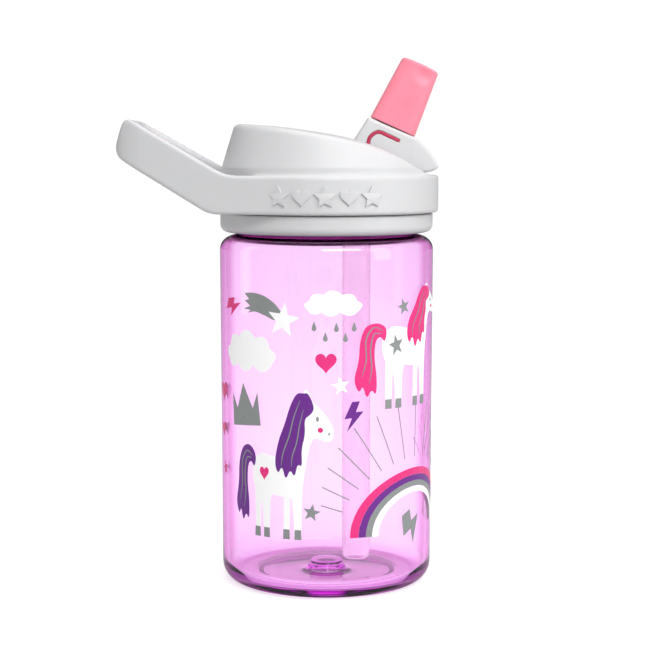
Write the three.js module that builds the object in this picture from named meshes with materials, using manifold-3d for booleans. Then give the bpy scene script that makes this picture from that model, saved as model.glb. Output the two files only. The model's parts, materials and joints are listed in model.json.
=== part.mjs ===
// A child's see-through drinking bottle: screw lid with a carry loop, flip-up bite spout and straw.
// Millimetres, +Z up. The origin is the centre of the base, where the bottle stands.
// +X is the side the spout leans to, and the carry loop reaches out along -X.
import * as THREE from "three";
import { mergeVertices } from "three/addons/utils/BufferGeometryUtils.js";
import Module from "manifold-3d";

const wasm = await Module();
wasm.setup();

// ---- Driving dimensions ----

// Bottle
const BODY_RADIUS = 36.5; // at the shoulder, the widest place
const FOOT_RADIUS = 36.0; // just above the base fillet
const WALL = 2.0;
const FLOOR = 3.0;
const BASE_FILLET = 6.5;
const SHOULDER_START_Z = 114.4;
const SHOULDER_TOP_Z = 119.4;
const NECK_RADIUS = 31.0;
const MOUTH_RADIUS = 28.8;
const RIM_Z = 133.0;

// Screw thread, right-handed, one start
const THREAD_LEAD = 6.0;
const THREAD_TURNS = 1.25;
const THREAD_HEIGHT = 1.3;
const THREAD_ROOT_WIDTH = 2.6;
const THREAD_TIP_WIDTH = 1.0;
const NECK_THREAD_TOP_Z = 130.5; // middle of the ridge at its upper end
const LID_THREAD_DROP = 1.9; // the lid's ridge runs this far below the neck's ridge
const LID_THREAD_ADVANCE = Math.PI / 3; // and it ends this much further down the helix

// Threaded collar
const COLLAR_BOTTOM_Z = 120.2;
const COLLAR_RADIUS = 36.3;
const COLLAR_LIP_RADIUS = 33.6;
const COLLAR_FLANGE_Z = 126.7;
const COLLAR_BORE_RADIUS = 32.7;
const PLUG_RADIUS = 34.6; // the part of the collar inside the shell
const CEILING_Z = 134.9;
const PLATE_TOP_Z = 137.0;

// Shell: band, dome and carry loop in one moulding
const BAND_RADIUS = 38.2;
const BAND_BOTTOM_Z = 127.1;
const BAND_TOP_Z = 139.8;
const BAND_EDGE = 1.2;
const DOME_FOOT_RADIUS = 36.2;
const DOME_SHOULDER_RADIUS = 35.7;
const DOME_SHOULDER_Z = 142.3;
const DOME_CROWN_RADIUS = 30.9;
const DOME_CROWN_Z = 158.0;
const SHELL_BORE_RADIUS = 34.9;
const SHELL_LEDGE_Z = 137.3;
const SHELL_WALL = 1.8;
const SLOT_HALF_WIDTH = 11.3;
const SLOT_START_X = -23.8;
const SLOT_FLOOR_END_X = 33.3;

// Carry loop
const LOOP_END_X = -71.3;
const LOOP_INNER_X = -63.4;
const LOOP_ARM = 5.0; // thickness of each arm, seen from above
const LOOP_HALF_WIDTH = 20.0; // outside, where the end bar begins
const LOOP_CORNER_X = -60.0;
const LOOP_OUTER_CORNER = 11.0; // how far the rounding of each corner reaches
const LOOP_INNER_CORNER = 7.0;

// Cradle that lines the slot and carries the spout
const CRADLE_HALF_WIDTH = 11.1;
const CRADLE_INNER_HALF_WIDTH = 9.6;
const CRADLE_FLOOR_Z = 138.6;
const CRADLE_START_X = -23.5;
const CRADLE_END_X = 33.0;
const CRADLE_WALL = 1.4;
const SEAL_OPENING = { start: 9.3, end: 19.1, halfWidth: 5.3 }; // round the pivot seal
const VENT_OPENING_RADIUS = 2.4;

// Spout: it turns about the trunnions in the cradle
const PIVOT = new THREE.Vector3(15, 0, 147.3);
const TRUNNION_RADIUS = 1.7;
const TRUNNION_REACH = 10.9;
const BARREL_RADIUS = 7.0;
const SPOUT_HALF_WIDTH = 9.2;
const SPOUT_TILT = THREE.MathUtils.degToRad(24.4);
const PLATFORM = new THREE.Vector3(22.3, 0, 155.6); // middle of the face under the bite valve
const NOZZLE_RADIUS = 4.2;
const NOZZLE_LENGTH = 8.0;
const FLOW_RADIUS = 2.0;
const FLOW_INLET = new THREE.Vector3(11.4, 0, 134.9);

// Bite valve
const VALVE_LENGTH = 23.0;
const VALVE_BASE = [8.2, 8.7]; // half sizes, along the flip plane and across it
const VALVE_TIP = [6.6, 8.3];

// Straw and its socket
const STRAW_X = 10.3;
const STRAW_RADIUS = 4.8;
const STRAW_BORE_RADIUS = 3.9;
const STRAW_BOTTOM_Z = 7.0;
const STRAW_TOP_Z = 133.0;
const SOCKET_RADIUS = 6.5;
const SOCKET_BORE_RADIUS = 5.1;
const SOCKET_BOTTOM_Z = 125.0;

// Vent
const VENT_X = -12.0;
const VENT_HOLE_RADIUS = 1.3;

const GAP = 0.3; // between neighbours
const SEGMENTS = 48; // round the large turned shapes
const SMALL_SEGMENTS = 20; // round the small ones

// ---- Shape helpers ----

// A closed geometry as a solid that can be joined and cut.
function solid(geometry) {
  const bare = geometry.clone();
  bare.deleteAttribute("normal");
  bare.deleteAttribute("uv");
  const merged = mergeVertices(bare, 1e-4);
  const index = merged.index.array;
  const triangles = [];
  for (let i = 0; i < index.length; i += 3) {
    const [a, b, c] = index.slice(i, i + 3);
    if (a !== b && b !== c && c !== a) triangles.push(a, b, c);
  }
  return new wasm.Manifold(
    new wasm.Mesh({
      numProp: 3,
      vertProperties: merged.attributes.position.array,
      triVerts: new Uint32Array(triangles),
    }),
  );
}

function geometryOf(body) {
  const mesh = body.getMesh();
  const geometry = new THREE.BufferGeometry();
  geometry.setAttribute("position", new THREE.BufferAttribute(mesh.vertProperties, 3));
  geometry.setIndex(new THREE.BufferAttribute(mesh.triVerts, 1));
  geometry.computeVertexNormals();
  return geometry;
}

function joined(...bodies) {
  return bodies.reduce((all, body) => all.add(body));
}

function toVectors(pairs) {
  return pairs.map(([x, y]) => new THREE.Vector2(x, y));
}

// A turned body about +Z, from a closed outline or one that starts and ends on the axis.
function revolve(pairs, segments = SEGMENTS) {
  const outline = toVectors(pairs);
  const onAxis = outline[0].x === 0 && outline.at(-1).x === 0;
  if (THREE.ShapeUtils.area(outline) < 0) outline.reverse();
  if (!onAxis) outline.push(outline[0].clone());
  return solid(new THREE.LatheGeometry(outline, segments).rotateX(Math.PI / 2));
}

// A side outline in X and Z, carried from -halfWidth to +halfWidth across Y.
function sidePrism(shape, halfWidth) {
  const geometry = new THREE.ExtrudeGeometry(shape, {
    depth: 2 * halfWidth,
    bevelEnabled: false,
    curveSegments: 6,
  });
  return solid(geometry.rotateX(Math.PI / 2).translate(0, halfWidth, 0));
}

// An outline seen from above, carried from one height to another.
function planPrism(shape, bottom, top) {
  const geometry = new THREE.ExtrudeGeometry(shape, {
    depth: top - bottom,
    bevelEnabled: false,
    curveSegments: 6,
  });
  return solid(geometry.translate(0, 0, bottom));
}

function box(x0, x1, halfWidth, z0, z1) {
  const geometry = new THREE.BoxGeometry(x1 - x0, 2 * halfWidth, z1 - z0);
  return solid(geometry.translate((x0 + x1) / 2, 0, (z0 + z1) / 2));
}

// A round bar from one point to another.
function rod(from, to, radius, segments = SMALL_SEGMENTS) {
  const axis = to.clone().sub(from);
  const geometry = new THREE.CylinderGeometry(radius, radius, axis.length(), segments);
  const turn = new THREE.Quaternion().setFromUnitVectors(
    new THREE.Vector3(0, 1, 0),
    axis.clone().normalize(),
  );
  geometry.applyQuaternion(turn);
  return solid(geometry.translate(...from.clone().lerp(to, 0.5).toArray()));
}

function uprightRod(x, bottom, top, radius, segments = SMALL_SEGMENTS) {
  return rod(new THREE.Vector3(x, 0, bottom), new THREE.Vector3(x, 0, top), radius, segments);
}

// The points of a round stretch of an outline, from one angle to another.
function arc(x, y, radius, from, to, steps) {
  const curve = new THREE.EllipseCurve(x, y, radius, radius, from, to, to < from);
  return curve.getPoints(steps).map((point) => [point.x, point.y]);
}

// One helical ridge. Its root is buried in the wall at rootRadius and it fades in and out.
function threadRidge(rootRadius, tipRadius, topZ) {
  const buried = 0.5 * Math.sign(rootRadius - tipRadius);
  const section = new THREE.Shape(
    toVectors([
      [rootRadius + buried, -THREAD_ROOT_WIDTH / 2],
      [tipRadius, -THREAD_TIP_WIDTH / 2],
      [tipRadius, THREAD_TIP_WIDTH / 2],
      [rootRadius + buried, THREAD_ROOT_WIDTH / 2],
    ]),
  );
  const sweep = THREAD_TURNS * 2 * Math.PI;
  const steps = Math.round(THREAD_TURNS * SEGMENTS * 0.75);
  const geometry = new THREE.ExtrudeGeometry(section, {
    depth: sweep,
    steps,
    bevelEnabled: false,
  });
  const fade = 0.35; // radians of turn over which the ridge rises and falls
  const position = geometry.attributes.position;
  for (let i = 0; i < position.count; i++) {
    const along = position.getZ(i);
    const rise = Math.min(1, along / fade, (sweep - along) / fade);
    const root = rootRadius + 0.6 * buried;
    const radius = THREE.MathUtils.lerp(root, position.getX(i), Math.max(rise, 0.02));
    const z = topZ + position.getY(i) - (THREAD_LEAD * along) / (2 * Math.PI);
    position.setXYZ(i, radius * Math.cos(along), -radius * Math.sin(along), z);
  }
  return solid(geometry);
}

// The dome's top as seen from the side: a long slope that steepens towards the spout.
function domeTopLine(drop) {
  const line = new THREE.SplineCurve(
    toVectors([
      [-40, 157.2],
      [-29.5, 156.9],
      [-13, 155.7],
      [7.3, 152.3],
      [22, 147.0],
      [33.7, 140.3],
      [42, 135.0],
    ]),
  );
  return line.getPoints(20).map((point) => [point.x, point.y - drop]);
}

// Everything below the dome's top.
function underDomeTop(drop, halfWidth) {
  const line = domeTopLine(drop);
  const outline = [[line[0][0], BAND_BOTTOM_Z - 20], ...line];
  outline.push([line.at(-1)[0], BAND_BOTTOM_Z - 20]);
  return sidePrism(new THREE.Shape(toVectors(outline)), halfWidth);
}

// ---- Bottle ----

function makeBottle() {
  const fillet = arc(
    FOOT_RADIUS - BASE_FILLET, BASE_FILLET, BASE_FILLET, -Math.PI / 2, 0, 6,
  );
  const shoulderRadius = BODY_RADIUS - NECK_RADIUS + 0.3;
  const flattened = (SHOULDER_TOP_Z - SHOULDER_START_Z) / shoulderRadius;
  const shoulder = arc(
    BODY_RADIUS - shoulderRadius, SHOULDER_START_Z, shoulderRadius, 0, Math.PI / 2, 6,
  ).map(([r, z]) => [r, SHOULDER_START_Z + (z - SHOULDER_START_Z) * flattened]);
  const innerFillet = arc(
    FOOT_RADIUS - BASE_FILLET, BASE_FILLET + 1, BASE_FILLET - WALL, 0, -Math.PI / 2, 4,
  );
  const bump = { radius: 7.0, topRadius: 4.6, height: 3.7 }; // on the inside of the floor
  const ring = { inner: 23.5, depth: 1.3, padRadius: 5.5 };
  const outline = [
    [0, 0],
    [ring.padRadius, 0],
    [ring.padRadius + 1.3, ring.depth],
    [ring.inner - 1.3, ring.depth],
    [ring.inner, 0],
    ...fillet,
    ...shoulder.slice(0, -1),
    [NECK_RADIUS, SHOULDER_TOP_Z],
    [NECK_RADIUS, RIM_Z - 0.5],
    [NECK_RADIUS - 0.5, RIM_Z],
    [MOUTH_RADIUS + 0.5, RIM_Z],
    [MOUTH_RADIUS, RIM_Z - 0.5],
    [MOUTH_RADIUS, SHOULDER_TOP_Z - 2.4],
    [MOUTH_RADIUS + 2.6, SHOULDER_TOP_Z - 3.6],
    [BODY_RADIUS - WALL, SHOULDER_START_Z - 1.6],
    ...innerFillet,
    [bump.radius, FLOOR],
    [bump.topRadius, FLOOR + bump.height],
    [0, FLOOR + bump.height],
  ];
  return revolve(outline).add(
    threadRidge(NECK_RADIUS, NECK_RADIUS + THREAD_HEIGHT, NECK_THREAD_TOP_Z),
  );
}

function makeNeckGasket() {
  return revolve([
    [MOUTH_RADIUS + 0.1, RIM_Z + 0.15],
    [NECK_RADIUS + 1.2, RIM_Z + 0.15],
    [NECK_RADIUS + 1.2, CEILING_Z - 0.15],
    [MOUTH_RADIUS + 0.1, CEILING_Z - 0.15],
  ]);
}

// ---- Flow path shared by the pieces it passes through ----

function flowBore(radius) {
  const direction = PLATFORM.clone().sub(FLOW_INLET).normalize();
  return rod(
    FLOW_INLET.clone().addScaledVector(direction, -3),
    PLATFORM.clone().addScaledVector(direction, 1),
    radius,
  );
}

// ---- Lid: collar, shell and cradle ----

function makeCollar() {
  const skirt = revolve([
    [COLLAR_BORE_RADIUS, COLLAR_BOTTOM_Z],
    ...arc(COLLAR_LIP_RADIUS, COLLAR_BOTTOM_Z + 2.9, 2.7, -Math.PI / 2, 0, 5),
    [COLLAR_RADIUS, COLLAR_FLANGE_Z],
    [PLUG_RADIUS, COLLAR_FLANGE_Z],
    [PLUG_RADIUS, PLATE_TOP_Z],
    [0, PLATE_TOP_Z],
    [0, CEILING_Z],
    [COLLAR_BORE_RADIUS, CEILING_Z],
  ]);
  const lidThreadTop =
    NECK_THREAD_TOP_Z - LID_THREAD_DROP + (THREAD_LEAD * LID_THREAD_ADVANCE) / (2 * Math.PI);
  const ridge = threadRidge(
    COLLAR_BORE_RADIUS, COLLAR_BORE_RADIUS - THREAD_HEIGHT, lidThreadTop,
  ).rotate([0, 0, THREE.MathUtils.radToDeg(LID_THREAD_ADVANCE)]);
  const socket = uprightRod(STRAW_X, SOCKET_BOTTOM_Z, CEILING_Z + 1, SOCKET_RADIUS, 24);
  const socketBore = uprightRod(
    STRAW_X, SOCKET_BOTTOM_Z - 1, CEILING_Z, SOCKET_BORE_RADIUS, 24,
  );
  const ventHole = uprightRod(VENT_X, CEILING_Z - 1, PLATE_TOP_Z + 1, VENT_HOLE_RADIUS, 12);
  return joined(skirt, ridge, socket)
    .subtract(socketBore)
    .subtract(flowBore(FLOW_RADIUS))
    .subtract(ventHole);
}

// The arms leave the band along its tangents and close in towards the end bar.
function loopPlan(inset) {
  const reach = Math.hypot(LOOP_CORNER_X, LOOP_HALF_WIDTH);
  const lean =
    Math.acos(BAND_RADIUS / reach) + Math.atan2(LOOP_HALF_WIDTH, -LOOP_CORNER_X);
  const offset = BAND_RADIUS - inset;
  const armY = (x) => (offset + x * Math.cos(lean)) / Math.sin(lean);
  const endX = inset ? LOOP_INNER_X : LOOP_END_X;
  const corner = inset ? LOOP_INNER_CORNER : LOOP_OUTER_CORNER;
  const startX = -offset * Math.cos(lean);
  const shape = new THREE.Shape();
  shape.moveTo(startX, armY(startX));
  shape.lineTo(endX + corner, armY(endX + corner));
  shape.quadraticCurveTo(endX, armY(endX), endX, armY(endX) - corner);
  shape.lineTo(endX, corner - armY(endX));
  shape.quadraticCurveTo(endX, -armY(endX), endX + corner, -armY(endX + corner));
  shape.lineTo(startX, -armY(startX));
  return shape;
}

// The loop seen from the side: level with the band, then rising away from the dome.
function loopSide() {
  const shape = new THREE.Shape();
  shape.moveTo(-5, BAND_BOTTOM_Z);
  shape.lineTo(-36.5, BAND_BOTTOM_Z);
  shape.quadraticCurveTo(-39.5, 127.6, -42.3, 129.3);
  shape.lineTo(-69.2, 145.2);
  shape.quadraticCurveTo(LOOP_END_X - 0.4, 146.6, LOOP_END_X, 149.0);
  shape.lineTo(-68.5, 156.2);
  shape.quadraticCurveTo(-67.4, 159.0, -64.6, 157.9);
  shape.lineTo(-37.0, 142.1);
  shape.quadraticCurveTo(-33.5, BAND_TOP_Z, -30, BAND_TOP_Z);
  shape.lineTo(-5, BAND_TOP_Z);
  return shape;
}

function makeShell() {
  const band = revolve([
    [0, BAND_BOTTOM_Z],
    [BAND_RADIUS, BAND_BOTTOM_Z],
    ...arc(BAND_RADIUS - BAND_EDGE, BAND_TOP_Z - BAND_EDGE, BAND_EDGE, 0, Math.PI / 2, 3),
    [0, BAND_TOP_Z],
  ]);
  const loop = sidePrism(loopSide(), BAND_RADIUS).intersect(
    planPrism(loopPlan(0), BAND_BOTTOM_Z - 1, DOME_CROWN_Z + 5),
  );
  const fingerOpening = planPrism(
    loopPlan(LOOP_ARM), BAND_BOTTOM_Z - 1, DOME_CROWN_Z + 5,
  );
  const dome = revolve([
    [0, BAND_BOTTOM_Z],
    [DOME_FOOT_RADIUS, BAND_BOTTOM_Z],
    [DOME_SHOULDER_RADIUS, DOME_SHOULDER_Z],
    [DOME_CROWN_RADIUS, DOME_CROWN_Z],
    [0, DOME_CROWN_Z],
  ]).intersect(underDomeTop(0, BAND_RADIUS + 5));
  const bore = revolve([
    [0, BAND_BOTTOM_Z - 1],
    [SHELL_BORE_RADIUS, BAND_BOTTOM_Z - 1],
    [SHELL_BORE_RADIUS, SHELL_LEDGE_Z],
    [0, SHELL_LEDGE_Z],
  ]);
  const hollow = revolve([
    [0, SHELL_LEDGE_Z - 1],
    [DOME_SHOULDER_RADIUS - SHELL_WALL, SHELL_LEDGE_Z - 1],
    [DOME_SHOULDER_RADIUS - SHELL_WALL, DOME_SHOULDER_Z],
    [DOME_CROWN_RADIUS - SHELL_WALL, DOME_CROWN_Z],
    [0, DOME_CROWN_Z],
  ]).intersect(underDomeTop(SHELL_WALL, BAND_RADIUS + 5));
  const slot = box(
    SLOT_START_X, SLOT_FLOOR_END_X, SLOT_HALF_WIDTH, SHELL_LEDGE_Z - 0.5, DOME_CROWN_Z + 5,
  );
  const slotMouth = box(0, BAND_RADIUS + 5, SLOT_HALF_WIDTH, BAND_TOP_Z, DOME_CROWN_Z);
  return joined(band, loop)
    .subtract(fingerOpening)
    .add(dome)
    .subtract(bore)
    .subtract(hollow)
    .subtract(slot)
    .subtract(slotMouth);
}

function makeCradle() {
  const top = DOME_CROWN_Z + 5;
  const block = box(
    CRADLE_START_X, CRADLE_END_X, CRADLE_HALF_WIDTH, PLATE_TOP_Z + 0.15, top,
  ).intersect(underDomeTop(0.4, CRADLE_HALF_WIDTH + 1));
  const trough = box(
    CRADLE_START_X + CRADLE_WALL,
    CRADLE_END_X - CRADLE_WALL,
    CRADLE_INNER_HALF_WIDTH,
    CRADLE_FLOOR_Z,
    top,
  );
  const openEnd = box(CRADLE_END_X - 5, CRADLE_END_X + 5, 20, BAND_TOP_Z - 0.2, top);
  const bearings = rod(
    PIVOT.clone().setY(-20), PIVOT.clone().setY(20), TRUNNION_RADIUS + 0.2,
  );
  const sealOpening = box(
    SEAL_OPENING.start,
    SEAL_OPENING.end,
    SEAL_OPENING.halfWidth,
    PLATE_TOP_Z,
    CRADLE_FLOOR_Z + 1,
  );
  const ventOpening = uprightRod(
    VENT_X, PLATE_TOP_Z, CRADLE_FLOOR_Z + 1, VENT_OPENING_RADIUS, 16,
  );
  return block
    .subtract(trough)
    .subtract(openEnd)
    .subtract(bearings)
    .subtract(sealOpening)
    .subtract(ventOpening);
}

// ---- Spout ----

function makePivotSeal() {
  const saddle = arc(PIVOT.x, PIVOT.z, BARREL_RADIUS + 0.18, -0.97, -1.67, 6);
  const bottom = PLATE_TOP_Z + 0.15;
  const left = SEAL_OPENING.start + GAP;
  const right = saddle[0][0];
  const outline = [[left, bottom], [right, bottom], ...saddle, [left, saddle.at(-1)[1]]];
  return sidePrism(
    new THREE.Shape(toVectors(outline)), SEAL_OPENING.halfWidth - GAP,
  ).subtract(flowBore(FLOW_RADIUS));
}

function makeVentValve() {
  const outline = [
    [0, CEILING_Z - 1.5],
    [4, CEILING_Z - 0.9],
    [4, CEILING_Z - 0.3],
    [1, CEILING_Z - 0.3],
    [1, PLATE_TOP_Z + 0.25],
    [1.8, PLATE_TOP_Z + 0.3],
    [0.9, PLATE_TOP_Z + 2.2],
    [0, PLATE_TOP_Z + 2.2],
  ];
  return revolve(outline, 16).translate([VENT_X, 0, 0]);
}

// The line of the coloured seal on the spout's cheek: up beside the pivot, over and down.
function sealStrip(halfThickness) {
  const middle = new THREE.SplineCurve(
    toVectors([
      [13.9, 150.0],
      [14.7, 152.5],
      [17.4, 154.1],
      [20.9, 152.8],
      [24.1, 151.3],
    ]),
  );
  const steps = 14;
  const upper = [];
  const lower = [];
  for (let i = 0; i <= steps; i++) {
    const point = middle.getPoint(i / steps);
    const across = middle.getTangent(i / steps).rotateAround(new THREE.Vector2(), Math.PI / 2);
    upper.push(point.clone().addScaledVector(across, halfThickness));
    lower.unshift(point.clone().addScaledVector(across, -halfThickness));
  }
  return new THREE.Shape([...upper, ...lower]);
}

function makeSpoutSeal() {
  return sidePrism(sealStrip(0.45), SPOUT_HALF_WIDTH + 0.1).subtract(
    flowBore(FLOW_RADIUS + 0.2),
  );
}

function makeSpoutHousing() {
  const barrel = rod(
    PIVOT.clone().setY(-SPOUT_HALF_WIDTH),
    PIVOT.clone().setY(SPOUT_HALF_WIDTH),
    BARREL_RADIUS,
    36,
  );
  const side = new THREE.Shape();
  side.moveTo(9.14, 151.1);
  side.lineTo(PIVOT.x, PIVOT.z);
  side.lineTo(18.5, 142.5);
  side.lineTo(31.2, 140.4);
  side.quadraticCurveTo(35.0, 140.4, 37.2, 141.7);
  side.quadraticCurveTo(38.3, 142.4, 37.5, 143.6);
  side.quadraticCurveTo(34.5, 148.2, 30.1, 152.2);
  side.lineTo(14.2, 159.0);
  const cheeks = sidePrism(side, SPOUT_HALF_WIDTH);
  const trunnions = rod(
    PIVOT.clone().setY(-TRUNNION_REACH), PIVOT.clone().setY(TRUNNION_REACH), TRUNNION_RADIUS,
  );
  const up = new THREE.Vector3(Math.sin(SPOUT_TILT), 0, Math.cos(SPOUT_TILT));
  const along = (distance) => PLATFORM.clone().addScaledVector(up, distance);
  const nozzle = rod(along(-3), along(NOZZLE_LENGTH), NOZZLE_RADIUS, 24);
  const nozzleBore = rod(along(-1), along(NOZZLE_LENGTH + 1), FLOW_RADIUS);
  return joined(barrel, cheeks, trunnions, nozzle)
    .subtract(flowBore(FLOW_RADIUS))
    .subtract(nozzleBore)
    .subtract(sidePrism(sealStrip(0.6), SPOUT_HALF_WIDTH + 1));
}

// The bite valve stands on the XY plane of its own frame and points up +Z.
function makeBiteValve() {
  const outline = [];
  const corners = 32;
  const squareness = 0.72; // 1 is an ellipse, smaller is squarer
  for (let i = 0; i < corners; i++) {
    const angle = (2 * Math.PI * i) / corners;
    const [c, s] = [Math.cos(angle), Math.sin(angle)];
    outline.push([
      Math.sign(c) * Math.abs(c) ** squareness,
      Math.sign(s) * Math.abs(s) ** squareness,
    ]);
  }
  const geometry = new THREE.ExtrudeGeometry(new THREE.Shape(toVectors(outline)), {
    depth: 1,
    steps: 8,
    bevelEnabled: false,
  });
  const round = 0.08; // share of the length over which the tip rounds off
  const position = geometry.attributes.position;
  for (let i = 0; i < position.count; i++) {
    const along = position.getZ(i);
    const shrink = along > 1 - round ? 0.93 : 1;
    const halfX = THREE.MathUtils.lerp(VALVE_BASE[0], VALVE_TIP[0], along) * shrink;
    const halfY = THREE.MathUtils.lerp(VALVE_BASE[1], VALVE_TIP[1], along) * shrink;
    position.setXYZ(i, position.getX(i) * halfX, position.getY(i) * halfY, along * VALVE_LENGTH);
  }
  const socket = uprightRod(0, -1, NOZZLE_LENGTH + 0.6, NOZZLE_RADIUS + GAP, 24);
  const chamber = uprightRod(0, NOZZLE_LENGTH, VALVE_LENGTH - 2.2, FLOW_RADIUS + 1, 16);
  const slit = box(-0.25, 0.25, 4, VALVE_LENGTH - 3, VALVE_LENGTH + 1);
  return solid(geometry).subtract(socket).subtract(chamber).subtract(slit);
}

function makeStraw() {
  return revolve(
    [
      [STRAW_BORE_RADIUS, STRAW_BOTTOM_Z],
      [STRAW_RADIUS, STRAW_BOTTOM_Z],
      [STRAW_RADIUS, STRAW_TOP_Z],
      [STRAW_BORE_RADIUS, STRAW_TOP_Z],
    ],
    24,
  );
}

// ---- Materials ----

function plastic(colour, roughness, opacity = 1) {
  return new THREE.MeshStandardMaterial({
    color: colour,
    roughness,
    metalness: 0,
    transparent: opacity < 1,
    opacity,
  });
}

const tintedPlastic = plastic("#e2a8e6", 0.08, 0.45);
const lidPlastic = plastic("#e9e9ea", 0.45);
const strawPlastic = plastic("#f4eef6", 0.3, 0.6);
const pinkSilicone = plastic("#ff8fa6", 0.5);
const crimsonSilicone = plastic("#b8324f", 0.5);
const clearSilicone = plastic("#e6e4e8", 0.5);

// ---- Assembly ----

function part(name, body, material) {
  const mesh = new THREE.Mesh(geometryOf(body), material);
  mesh.name = name;
  return mesh;
}

const spout = new THREE.Group();
const biteValve = part("bite_valve", makeBiteValve(), pinkSilicone);
biteValve.position.set(
  PLATFORM.x + GAP * Math.sin(SPOUT_TILT),
  0,
  PLATFORM.z + GAP * Math.cos(SPOUT_TILT),
);
biteValve.rotation.y = SPOUT_TILT;
spout.add(part("spout_housing", makeSpoutHousing(), lidPlastic));
spout.add(part("spout_seal", makeSpoutSeal(), crimsonSilicone));
spout.add(biteValve);

const straw = part("straw", makeStraw(), strawPlastic);
straw.position.x = STRAW_X;

const lid = new THREE.Group();
lid.add(part("lid_shell", makeShell(), lidPlastic));
lid.add(part("threaded_collar", makeCollar(), lidPlastic));
lid.add(part("spout_cradle", makeCradle(), lidPlastic));
lid.add(part("pivot_seal", makePivotSeal(), clearSilicone));
lid.add(part("vent_valve", makeVentValve(), clearSilicone));
lid.add(straw);
lid.add(spout);

const drinkingBottle = new THREE.Group();
drinkingBottle.add(part("bottle_body", makeBottle(), tintedPlastic));
drinkingBottle.add(part("neck_gasket", makeNeckGasket(), clearSilicone));
drinkingBottle.add(lid);

export default drinkingBottle;
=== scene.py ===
"""Looks for the child's straw bottle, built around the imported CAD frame.

Shapes are worked out in millimetres in the CAD's own frame and turned into metres when a mesh
is made. Moulded pieces come from distance fields, turned pieces from profiles, and the print
from flat outlines wrapped on the bottle's wall.
"""
import itertools
import json
import math

import bmesh
import bpy
import numpy as np
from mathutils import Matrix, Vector
from mathutils.geometry import tessellate_polygon


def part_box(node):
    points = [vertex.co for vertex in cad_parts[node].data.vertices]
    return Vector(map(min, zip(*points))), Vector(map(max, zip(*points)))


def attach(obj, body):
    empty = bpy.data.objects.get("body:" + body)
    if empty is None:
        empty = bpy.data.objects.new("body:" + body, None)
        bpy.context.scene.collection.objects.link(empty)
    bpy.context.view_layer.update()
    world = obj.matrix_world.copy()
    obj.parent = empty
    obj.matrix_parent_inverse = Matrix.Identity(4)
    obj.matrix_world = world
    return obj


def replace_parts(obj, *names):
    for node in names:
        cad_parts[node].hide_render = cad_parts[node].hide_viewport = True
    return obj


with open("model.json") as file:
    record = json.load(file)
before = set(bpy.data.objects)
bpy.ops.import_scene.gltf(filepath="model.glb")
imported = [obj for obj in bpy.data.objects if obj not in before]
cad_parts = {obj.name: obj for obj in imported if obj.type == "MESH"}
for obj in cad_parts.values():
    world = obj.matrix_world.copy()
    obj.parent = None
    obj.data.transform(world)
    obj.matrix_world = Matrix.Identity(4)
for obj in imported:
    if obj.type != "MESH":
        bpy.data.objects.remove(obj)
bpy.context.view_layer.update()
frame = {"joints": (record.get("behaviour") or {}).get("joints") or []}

MM = 0.001


def box_mm(node):
    low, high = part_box(node)
    return np.array(low) / MM, np.array(high) / MM


# ---- Driving sizes, in millimetres, from the frame ----

_, bottle_high = box_mm("bottle_body")
collar_low, collar_high = box_mm("threaded_collar")
shell_low, shell_high = box_mm("lid_shell")
cradle_low, cradle_high = box_mm("spout_cradle")
straw_low, straw_high = box_mm("straw")
gasket_low, gasket_high = box_mm("neck_gasket")
vent_low, vent_high = box_mm("vent_valve")
flip = next(j for j in frame["joints"] if j["name"] == "spout_flip")
pivot_x, _, pivot_z = np.array(flip["pos_m"]) / MM
vent_x = (vent_low[0] + vent_high[0]) / 2

BODY_R = bottle_high[0]
FOOT_R = BODY_R - 0.5
WALL = 2.0
BASE_FILLET = 6.5
INNER_FILLET = BASE_FILLET - WALL
INNER_FILLET_Z = 8.0  # height of the inner fillet's centre
RECESS_Z = 1.3  # the base is hollowed this far inside its foot ring
RIM_Z = bottle_high[2]
SHOULDER_Z = RIM_Z - 18.6
NECK_BASE_Z = RIM_Z - 13.6
NECK_R = BODY_R - 5.5
MOUTH_R = NECK_R - 2.2
RIM_EDGE = 0.6
THREAD_LEAD = 6.0
THREAD_HEIGHT = 1.3
THREAD_TURNS = 1.25
NECK_THREAD_TOP = RIM_Z - 2.5
LID_THREAD_TURN = math.pi / 3
LID_THREAD_TOP = NECK_THREAD_TOP - 1.9 + THREAD_LEAD / 6

BAND_R = shell_high[0]
BAND_BOTTOM = shell_low[2]
BAND_TOP = BAND_BOTTOM + 12.7
BAND_EDGE = 1.2
LOOP_END = shell_low[0]
LOOP_CORNER_X = -60.0
LOOP_HALF = 20.0
END_BAR = 7.9
SHELL_BORE = 34.9
SHELL_LEDGE_Z = 137.3
SHELL_WALL = 1.8
SLOT_START = -23.8
SLOT_END = 33.3
SLOT_HALF = 11.3
SLOT_FLOOR_Z = 136.8

CRADLE_HALF = 11.1
TROUGH_HALF = 9.6
TROUGH_FLOOR_Z = 138.6
CRADLE_WALL = 1.4
BEARING_R = 1.9
PIVOT_SEAL_HALF = 5.0
SEAL_OPENING = (9.3, 19.1)
SEAL_OPENING_HALF = 5.3
VENT_OPENING_R = 2.4

COLLAR_BOTTOM = collar_low[2]
COLLAR_R = collar_high[0]
PLATE_TOP = collar_high[2]
CEILING = PLATE_TOP - 2.1
COLLAR_BORE = COLLAR_R - 3.6
COLLAR_STEP_Z = COLLAR_BOTTOM + 6.5
PLUG_R = 34.6  # the part of the collar inside the shell

STRAW_X = (straw_low[0] + straw_high[0]) / 2
STRAW_R = (straw_high[0] - straw_low[0]) / 2
STRAW_WALL = 0.9
SOCKET_R = 6.5
SOCKET_BORE = 5.1
SOCKET_BOTTOM_Z = 125.0

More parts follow.
